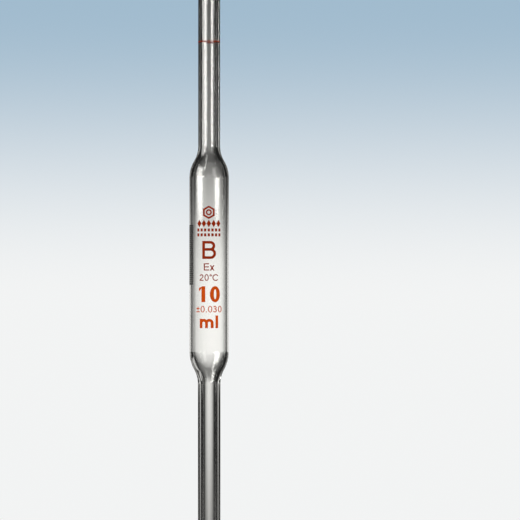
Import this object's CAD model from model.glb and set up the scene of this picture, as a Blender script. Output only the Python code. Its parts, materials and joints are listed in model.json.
import json
import math

import bmesh
import bpy
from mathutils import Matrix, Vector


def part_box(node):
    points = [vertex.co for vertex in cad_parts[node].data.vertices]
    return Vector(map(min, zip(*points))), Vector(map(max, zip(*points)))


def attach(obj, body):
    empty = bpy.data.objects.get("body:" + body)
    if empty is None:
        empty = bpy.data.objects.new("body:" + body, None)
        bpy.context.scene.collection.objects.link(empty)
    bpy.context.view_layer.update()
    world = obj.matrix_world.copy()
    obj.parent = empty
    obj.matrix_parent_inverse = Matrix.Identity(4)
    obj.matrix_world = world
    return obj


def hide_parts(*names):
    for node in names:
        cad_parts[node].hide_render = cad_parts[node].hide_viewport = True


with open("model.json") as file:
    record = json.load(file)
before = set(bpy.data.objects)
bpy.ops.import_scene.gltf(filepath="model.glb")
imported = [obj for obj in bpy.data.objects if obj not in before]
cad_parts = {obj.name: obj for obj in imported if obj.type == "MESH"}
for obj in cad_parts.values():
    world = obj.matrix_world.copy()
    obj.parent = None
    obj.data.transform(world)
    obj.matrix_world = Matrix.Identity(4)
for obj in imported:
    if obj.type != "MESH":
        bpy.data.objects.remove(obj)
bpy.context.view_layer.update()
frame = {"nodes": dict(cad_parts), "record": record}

# ---------------------------------------------------------------- sizes
# Outsides and heights come from the frame. These are what a node's box can't tell, in metres.

MM = 0.001
SUCTION_BORE_R = 2.25 * MM
DELIVERY_BORE_R = 2.22 * MM
BULB_BORE_R = 5.66 * MM
LOWER_SHOULDER = 11.3 * MM
UPPER_SHOULDER = 11.0 * MM
LOWER_SHOULDER_SHARE = 0.44  # the first arc's share of both radii in an s_curve, and so in the next two
UPPER_SHOULDER_SHARE = 0.53
JET_SHARE = 0.6
STRAIGHT = 0.1 * MM  # short straight glass at both ends of a shoulder
JET_STRAIGHT = 13.0 * MM
NOZZLE_R = 1.60 * MM
NOZZLE_BORE_R = 0.62 * MM
TIP_R = 1.25 * MM
TIP_BORE_R = 0.42 * MM
MOUTH = 3.3 * MM
LIP_R = 3.25 * MM
LIP_BORE_R = 2.03 * MM

AROUND = 160  # facets round the glass
ARC_STEPS = 14  # steps along each arc of a profile
SHARP_ANGLE = 35  # degrees, over which an edge is shaded sharp


def top_of(node):
    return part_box(node)[1].z


def radius_of(node):
    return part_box(node)[1].x


SUCTION_R = radius_of("suction_tube")
DELIVERY_R = radius_of("delivery_tube")
BULB_R = radius_of("bulb")
JET_Z = top_of("jet")
BULB_LOW_Z = top_of("delivery_tube")
BULB_HIGH_Z = top_of("bulb")
OVERALL_Z = top_of("suction_tube")


# ---------------------------------------------------------------- node helpers


def new_material(name):
    material = bpy.data.materials.new(name)
    material.use_nodes = True
    tree = material.node_tree
    return material, tree, tree.nodes["Principled BSDF"]


def add(tree, kind, **inputs):
    """A node with its unlinked inputs set by name, underscores for spaces."""
    node = tree.nodes.new(kind)
    for name, value in inputs.items():
        node.inputs[name.replace("_", " ")].default_value = value
    return node


def math_node(tree, operation, *values):
    """A Math node. Each value is a number or a socket."""
    node = tree.nodes.new("ShaderNodeMath")
    node.operation = operation
    for socket, value in zip(node.inputs, values):
        if isinstance(value, (int, float)):
            socket.default_value = value
        else:
            tree.links.new(value, socket)
    return node.outputs[0]


def smooth_step(tree, value, low, high):
    """0 below low, 1 above high, smooth between; the other way round if low is above high."""
    node = tree.nodes.new("ShaderNodeMapRange")
    node.interpolation_type = "SMOOTHSTEP"
    rising = low < high
    node.inputs["From Min"].default_value = low if rising else high
    node.inputs["From Max"].default_value = high if rising else low
    node.inputs["To Min"].default_value = 0.0 if rising else 1.0
    node.inputs["To Max"].default_value = 1.0 if rising else 0.0
    tree.links.new(value, node.inputs["Value"])
    return node.outputs["Result"]


def colour_by(tree, factor, shader, first, last):
    """Base colour that runs between two stops of a ramp, each given as its position and its colour."""
    ramp = tree.nodes.new("ShaderNodeValToRGB")
    for element, (position, colour) in zip(ramp.color_ramp.elements, (first, last)):
        element.position = position
        element.color = (*colour, 1)
    tree.links.new(factor, ramp.inputs["Fac"])
    tree.links.new(ramp.outputs["Color"], shader.inputs["Base Color"])


# ---------------------------------------------------------------- materials


GLASS_IOR = 1.514
STRIATIONS = (600.0, 600.0, 8.0)  # features per metre in X, Y and Z, as the other texture scales
STRIATION_DEPTH = 0.02 * MM
DUST = 260.0
DUST_ROUGHNESS = 0.02
PIGMENT_CLOUDS = 900.0
SCREEN_GRAIN = 9000.0
GRAIN_DEPTH = 0.01 * MM
GLOSS_SPREAD = 0.08  # how far an enamel's roughness strays to both sides


def glass_material():
    """Clear drawn glass: faint striations along the tube, and a trace of dust in its gloss."""
    material, tree, shader = new_material("clear_glass")
    shader.inputs["Transmission Weight"].default_value = 1.0
    shader.inputs["IOR"].default_value = GLASS_IOR
    place = add(tree, "ShaderNodeTexCoord")
    stretch = add(tree, "ShaderNodeMapping", Scale=STRIATIONS)
    tree.links.new(place.outputs["Object"], stretch.inputs["Vector"])
    drawn = add(tree, "ShaderNodeTexNoise", Scale=1.0, Detail=0.0)
    tree.links.new(stretch.outputs["Vector"], drawn.inputs["Vector"])
    bump = add(tree, "ShaderNodeBump", Strength=0.015, Distance=STRIATION_DEPTH)
    tree.links.new(drawn.outputs["Fac"], bump.inputs["Height"])
    tree.links.new(bump.outputs["Normal"], shader.inputs["Normal"])
    dust = add(tree, "ShaderNodeTexNoise", Scale=DUST, Detail=4.0)
    tree.links.new(place.outputs["Object"], dust.inputs["Vector"])
    gloss = add(tree, "ShaderNodeMapRange", From_Min=0.45, From_Max=0.8, To_Min=0.0, To_Max=DUST_ROUGHNESS)
    tree.links.new(dust.outputs["Fac"], gloss.inputs["Value"])
    tree.links.new(gloss.outputs["Result"], shader.inputs["Roughness"])
    colour_by(tree, drawn.outputs["Fac"], shader, (0.0, (0.97, 0.98, 0.97)), (1.0, (1.0, 1.0, 1.0)))
    return material


def seam_material():
    """The inside of a fused joint, where light goes straight on."""
    material = bpy.data.materials.new("fused_joint")
    material.use_nodes = True
    tree = material.node_tree
    tree.nodes.clear()
    clear = add(tree, "ShaderNodeBsdfTransparent")
    output = add(tree, "ShaderNodeOutputMaterial")
    tree.links.new(clear.outputs["BSDF"], output.inputs["Surface"])
    return material


def enamel_material(name, dark, light, roughness):
    """Fired screen-print enamel: cloudy pigment, a fine screen grain and a slightly uneven gloss."""
    material, tree, shader = new_material(name)
    shader.inputs["Specular IOR Level"].default_value = 0.05
    place = add(tree, "ShaderNodeTexCoord")
    cloud = add(tree, "ShaderNodeTexNoise", Scale=PIGMENT_CLOUDS, Detail=3.0)
    grain = add(tree, "ShaderNodeTexVoronoi", Scale=SCREEN_GRAIN)
    for texture in (cloud, grain):
        tree.links.new(place.outputs["Object"], texture.inputs["Vector"])
    colour_by(tree, cloud.outputs["Fac"], shader, (0.3, dark), (0.7, light))
    gloss = add(tree, "ShaderNodeMapRange", To_Min=roughness - GLOSS_SPREAD, To_Max=roughness + GLOSS_SPREAD)
    tree.links.new(cloud.outputs["Fac"], gloss.inputs["Value"])
    tree.links.new(gloss.outputs["Result"], shader.inputs["Roughness"])
    bump = add(tree, "ShaderNodeBump", Strength=0.3, Distance=GRAIN_DEPTH)
    tree.links.new(grain.outputs["Distance"], bump.inputs["Height"])
    tree.links.new(bump.outputs["Normal"], shader.inputs["Normal"])
    return material


# ---------------------------------------------------------------- glass


def s_curve(start, end, first_share=0.5):
    """Points along two arcs that meet in one tangent, each parallel to the axis at its own end.

    The first arc's radius is first_share of both radii together.
    """
    dr, dz = end[0] - start[0], end[1] - start[1]
    side, up = math.copysign(1.0, dr), math.copysign(1.0, dz)
    turn = 2 * math.atan2(abs(dr), abs(dz))
    both = abs(dz) / math.sin(turn)
    first_r = both * first_share
    last_r = both - first_r
    points = []
    for step in range(ARC_STEPS + 1):
        a = turn * step / ARC_STEPS
        points.append((start[0] + side * first_r * (1 - math.cos(a)), start[1] + up * first_r * math.sin(a)))
    for step in range(ARC_STEPS - 1, -1, -1):
        a = turn * step / ARC_STEPS
        points.append((end[0] - side * last_r * (1 - math.cos(a)), end[1] - up * last_r * math.sin(a)))
    return points


def lathe(name, outer, inner, fused_low, fused_high):
    """A closed glass wall of revolution, from its outer and inner profiles, both listed upwards.

    A profile is a list of radius and height. An end that is fused to the next piece gets the second
    material, and any other end stays glass.
    """
    profile = outer + inner[::-1]
    count = len(profile)
    mesh = bmesh.new()
    rings = []
    for step in range(AROUND):
        a = 2 * math.pi * step / AROUND
        rings.append([mesh.verts.new((r * math.cos(a), r * math.sin(a), z)) for r, z in profile])
    high_edge, low_edge = len(outer) - 1, count - 1
    for step in range(AROUND):
        here, there = rings[step], rings[(step + 1) % AROUND]
        for i in range(count):
            j = (i + 1) % count
            face = mesh.faces.new((here[i], there[i], there[j], here[j]))
            face.smooth = True
            if (i == high_edge and fused_high) or (i == low_edge and fused_low):
                face.material_index = 1
    bmesh.ops.recalc_face_normals(mesh, faces=mesh.faces)
    data = bpy.data.meshes.new(name)
    mesh.to_mesh(data)
    mesh.free()
    data.set_sharp_from_angle(angle=math.radians(SHARP_ANGLE))
    piece = bpy.data.objects.new(name, data)
    bpy.context.scene.collection.objects.link(piece)
    data.materials.append(GLASS)
    data.materials.append(SEAM)
    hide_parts(name)
    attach(piece, "root")
    return piece


def bulb_profile(low_r, body_r, high_r):
    """Tube, shoulder, body, shoulder, tube. The short straight lengths keep the shading level on the body."""
    low_z, high_z = BULB_LOW_Z + LOWER_SHOULDER, BULB_HIGH_Z - UPPER_SHOULDER
    lower = s_curve((low_r, BULB_LOW_Z + STRAIGHT), (body_r, low_z), LOWER_SHOULDER_SHARE)
    upper = s_curve((body_r, high_z), (high_r, BULB_HIGH_Z - STRAIGHT), UPPER_SHOULDER_SHARE)
    body = [(body_r, low_z + STRAIGHT), (body_r, high_z - STRAIGHT)]
    return [(low_r, BULB_LOW_Z)] + lower + body + upper + [(high_r, BULB_HIGH_Z)]


def make_jet():
    outer = [(TIP_R, 0.0)] + s_curve((NOZZLE_R, JET_STRAIGHT), (DELIVERY_R, JET_Z), JET_SHARE)
    inner = [(TIP_BORE_R, 0.0)] + s_curve((NOZZLE_BORE_R, JET_STRAIGHT), (DELIVERY_BORE_R, JET_Z), JET_SHARE)
    return lathe("jet", outer, inner, fused_low=False, fused_high=True)


def make_delivery_tube():
    outer = [(DELIVERY_R, JET_Z), (DELIVERY_R, BULB_LOW_Z)]
    inner = [(DELIVERY_BORE_R, JET_Z), (DELIVERY_BORE_R, BULB_LOW_Z)]
    return lathe("delivery_tube", outer, inner, fused_low=True, fused_high=True)


def make_bulb():
    outer = bulb_profile(DELIVERY_R, BULB_R, SUCTION_R)
    inner = bulb_profile(DELIVERY_BORE_R, BULB_BORE_R, SUCTION_BORE_R)
    return lathe("bulb", outer, inner, fused_low=True, fused_high=True)


def make_suction_tube():
    mouth_z = OVERALL_Z - MOUTH
    roll = (LIP_R - LIP_BORE_R) / 2
    lip_z = OVERALL_Z - roll
    outer = [(SUCTION_R, BULB_HIGH_Z)] + s_curve((SUCTION_R, mouth_z), (LIP_R, lip_z))
    for step in range(1, ARC_STEPS):
        a = math.pi * step / ARC_STEPS
        outer.append((LIP_R - roll + roll * math.cos(a), lip_z + roll * math.sin(a)))
    inner = [(SUCTION_BORE_R, BULB_HIGH_Z)] + s_curve((SUCTION_BORE_R, mouth_z), (LIP_BORE_R, lip_z))
    return lathe("suction_tube", outer, inner, fused_low=True, fused_high=False)


# ---------------------------------------------------------------- enamel


ENAMELS = {  # each slot's darkest and lightest pigment, and its roughness
    "brown_enamel": ((0.20, 0.014, 0.0008), (0.28, 0.024, 0.001), 0.6),
    "orange_enamel": ((0.46, 0.052, 0.001), (0.55, 0.072, 0.002), 0.6),
    "red_enamel": ((0.46, 0.008, 0.006), (0.60, 0.014, 0.008), 0.25),
    "black_enamel": ((0.006, 0.006, 0.006), (0.02, 0.02, 0.02), 0.4),
}


def paint_enamel():
    """Each print keeps its CAD shape and gets the enamel of its slot."""
    enamels = {slot: enamel_material(slot, *look) for slot, look in ENAMELS.items()}
    for subpart in frame["record"]["subparts"]:
        if subpart["material_slot"] in enamels:
            node = frame["nodes"][subpart["node"]]
            for material_slot in node.material_slots:
                material_slot.material = enamels[subpart["material_slot"]]


# ---------------------------------------------------------------- stage, light and camera


FLOOR_R = 6.0
FLOOR_DROP = 0.5 * MM  # how far the floor lies under the tip
FLOOR_FULL = 0.25  # the floor is solid within this radius
FLOOR_GONE = 0.8  # and has faded out at this one


def make_floor():
    """A pale round floor that fades out into the pale surroundings. Light in the glass passes it by."""
    mesh = bmesh.new()
    bmesh.ops.create_circle(mesh, cap_ends=True, segments=96, radius=FLOOR_R)
    data = bpy.data.meshes.new("floor")
    mesh.to_mesh(data)
    mesh.free()
    floor = bpy.data.objects.new("floor", data)
    floor.location.z = -FLOOR_DROP
    floor.visible_glossy = False
    floor.visible_transmission = False
    bpy.context.scene.collection.objects.link(floor)
    material, tree, shader = new_material("pale_floor")
    shader.inputs["Base Color"].default_value = (0.80, 0.80, 0.79, 1)
    shader.inputs["Roughness"].default_value = 0.9
    shader.inputs["Specular IOR Level"].default_value = 0.0
    place = tree.nodes.new("ShaderNodeTexCoord")
    length = tree.nodes.new("ShaderNodeVectorMath")
    length.operation = "LENGTH"
    tree.links.new(place.outputs["Object"], length.inputs[0])
    fade = smooth_step(tree, length.outputs["Value"], FLOOR_GONE, FLOOR_FULL)
    tree.links.new(fade, shader.inputs["Alpha"])
    data.materials.append(material)


class Sky:
    """Masks over the directions round the pipette, as sockets of the world's node tree.

    Azimuths are in degrees from +Y, behind the pipette, towards +X. A height is the upward part of a
    direction: 0 is level and 1 is straight up.
    """

    def __init__(self, tree):
        self.tree = tree
        direction = tree.nodes.new("ShaderNodeTexCoord").outputs["Generated"]
        parts = tree.nodes.new("ShaderNodeSeparateXYZ")
        tree.links.new(direction, parts.inputs[0])
        x, y, self.height = parts.outputs
        self.azimuth = math_node(tree, "ARCTAN2", x, y)

    def total(self, *values):
        result = values[0]
        for value in values[1:]:
            result = math_node(self.tree, "ADD", result, value)
        return result

    def product(self, *values):
        result = values[0]
        for value in values[1:]:
            result = math_node(self.tree, "MULTIPLY", result, value)
        return result

    def at(self, centre, half_width, soft):
        """1 where the azimuth is within half_width of centre, with soft sides."""
        away = math_node(self.tree, "SUBTRACT", self.azimuth, math.radians(centre))
        wrapped = math_node(self.tree, "WRAP", away, math.pi, -math.pi)
        distance = math_node(self.tree, "ABSOLUTE", wrapped)
        outside, inside = math.radians(half_width + soft), math.radians(half_width - soft)
        return smooth_step(self.tree, distance, outside, inside)

    def box(self, strength, centre, half_width, soft):
        """The light of an upright soft box that is endless in height."""
        return self.product(self.at(centre, half_width, soft), strength)

    def fade(self, dark_at, full_at):
        """0 at the height dark_at and beyond it, 1 at full_at and beyond it, and smooth between them."""
        return smooth_step(self.tree, self.height, dark_at, full_at)

    def heights(self, start, full_from, full_to, end):
        """0 below start, 1 from full_from to full_to, and 0 above end."""
        return self.product(self.fade(start, full_from), self.fade(end, full_to))


def lit_backdrop(sky):
    """The backdrop behind the pipette: bright round the horizon, dim higher up, narrow for the tubes."""
    bright = sky.product(sky.heights(-0.12, -0.03, -0.012, 0.045), 0.80)
    dim = sky.total(sky.product(sky.fade(0.10, 0.03), 0.17), 0.13)
    lit = sky.total(bright, sky.product(dim, sky.heights(-0.40, -0.30, 0.10, 0.35)))
    widely = sky.heights(-0.045, -0.030, 0.0, 0.03)
    narrowly = math_node(sky.tree, "SUBTRACT", 1.0, widely)
    narrow = sky.product(sky.box(0.85, -1, 11, 11), narrowly)
    wide = sky.product(sky.at(2, 20, 20), widely)
    return sky.product(lit, sky.total(narrow, wide))


def backdrop_sides(sky):
    """Weaker light to the sides of the backdrop, and behind the pipette as seen from elsewhere."""
    edges = sky.product(sky.total(sky.box(0.42, -60, 12, 4), sky.box(0.42, 60, 12, 4)),
                        sky.heights(-0.050, -0.033, -0.03, 0.08))
    around = sky.total(sky.box(0.6, 90, 14, 14), sky.box(0.6, 180, 14, 14), sky.box(0.6, -90, 14, 14))
    around = sky.product(around, sky.heights(-0.20, -0.16, -0.10, -0.06))
    near_side = sky.product(sky.box(0.5, -90, 8, 8), sky.heights(-0.10, -0.06, 0.0, 0.04))
    from_above = sky.total(sky.box(0.6, -45, 12, 12), sky.box(0.6, 135, 12, 12))
    from_above = sky.product(from_above, sky.fade(-0.15, -0.19))
    return sky.total(edges, around, near_side, from_above)


def soft_boxes(sky):
    """A strong soft box at the left and weak ones at the right, with other widths at each height."""
    low = sky.total(sky.box(12.0, -120, 18, 8), sky.box(1.2, 128, 28, 10))
    low = sky.product(low, sky.heights(0.004, 0.030, 0.030, 0.040))
    high = sky.total(sky.box(10.0, -126, 25, 2), sky.box(2.7, 139, 8, 3), sky.box(4.2, 97, 3, 2))
    high = sky.product(high, sky.heights(0.030, 0.040, 0.08, 0.12))
    top = sky.total(sky.box(8.0, -117, 20, 10), sky.box(2.0, 145, 12, 8))
    top = sky.product(top, sky.heights(0.08, 0.12, 0.45, 0.65))
    strip = sky.product(sky.box(8.0, 140, 5, 3), sky.fade(-0.42, -0.50))
    return sky.total(low, high, top, strip)


STUDIO_GLOW = 0.015  # what the dark gaps of the studio give
DULL_STRENGTH = 1.12


def mix_by_ray(tree, ray, without, with_ray):
    """The second background for rays of the named kind, the first one for all others."""
    mix = tree.nodes.new("ShaderNodeMixShader")
    tree.links.new(ray, mix.inputs["Fac"])
    tree.links.new(without, mix.inputs[1])
    tree.links.new(with_ray, mix.inputs[2])
    return mix.outputs[0]


def make_studio():
    """A studio painted on the surroundings.

    The camera sees a plain pale backdrop and dull surfaces get an even light. The glass sees a small lit
    backdrop behind it that fades out to the sides and upwards, dark gaps, and tall soft boxes.
    """
    world = bpy.data.worlds.new("studio")
    bpy.context.scene.world = world
    world.use_nodes = True
    world.cycles.sampling_method = "NONE"
    tree = world.node_tree
    sky = Sky(tree)
    studio = sky.total(lit_backdrop(sky), backdrop_sides(sky), soft_boxes(sky), STUDIO_GLOW)
    glass_light = tree.nodes["Background"]
    tree.links.new(studio, glass_light.inputs["Strength"])
    glass_light.inputs["Color"].default_value = (1.0, 0.985, 0.95, 1)
    dull_light = add(tree, "ShaderNodeBackground", Color=(1.0, 1.0, 1.0, 1), Strength=DULL_STRENGTH)
    backdrop = tree.nodes.new("ShaderNodeValToRGB")
    backdrop.color_ramp.elements[0].color = (0.89, 0.90, 0.90, 1)
    backdrop.color_ramp.elements[1].color = (0.36, 0.50, 0.62, 1)
    tree.links.new(sky.fade(-0.015, 0.09), backdrop.inputs["Fac"])
    seen = tree.nodes.new("ShaderNodeBackground")
    tree.links.new(backdrop.outputs["Color"], seen.inputs["Color"])
    rays = tree.nodes.new("ShaderNodeLightPath")
    unseen = mix_by_ray(tree, rays.outputs["Is Diffuse Ray"], glass_light.outputs[0], dull_light.outputs[0])
    final = mix_by_ray(tree, rays.outputs["Is Camera Ray"], unseen, seen.outputs[0])
    tree.links.new(final, tree.nodes["World Output"].inputs["Surface"])


FRAME_WIDTH = 182.1 * MM  # what the picture shows at the pipette's own distance
LENS = 200.0  # focal length and sensor width, in millimetres
SENSOR = 36.0
CAMERA_DROP = 39.9 * MM  # the camera's height, below the top of the bulb
CAMERA_RIGHT = 17.8 * MM  # the camera stands right of the pipette's axis


def make_camera():
    data = bpy.data.cameras.new("camera")
    data.lens = LENS
    data.sensor_width = SENSOR
    distance = FRAME_WIDTH * LENS / SENSOR
    camera = bpy.data.objects.new("camera", data)
    camera.location = (CAMERA_RIGHT, -distance, BULB_HIGH_Z - CAMERA_DROP)
    camera.rotation_euler = (math.radians(90), 0, 0)
    data.clip_start = 0.05
    data.clip_end = 50.0
    bpy.context.scene.collection.objects.link(camera)
    bpy.context.scene.camera = camera


GLASS = glass_material()
SEAM = seam_material()
make_jet()
make_delivery_tube()
make_bulb()
make_suction_tube()
paint_enamel()
make_floor()
make_studio()
make_camera()
bpy.context.scene.view_settings.view_transform = "Standard"
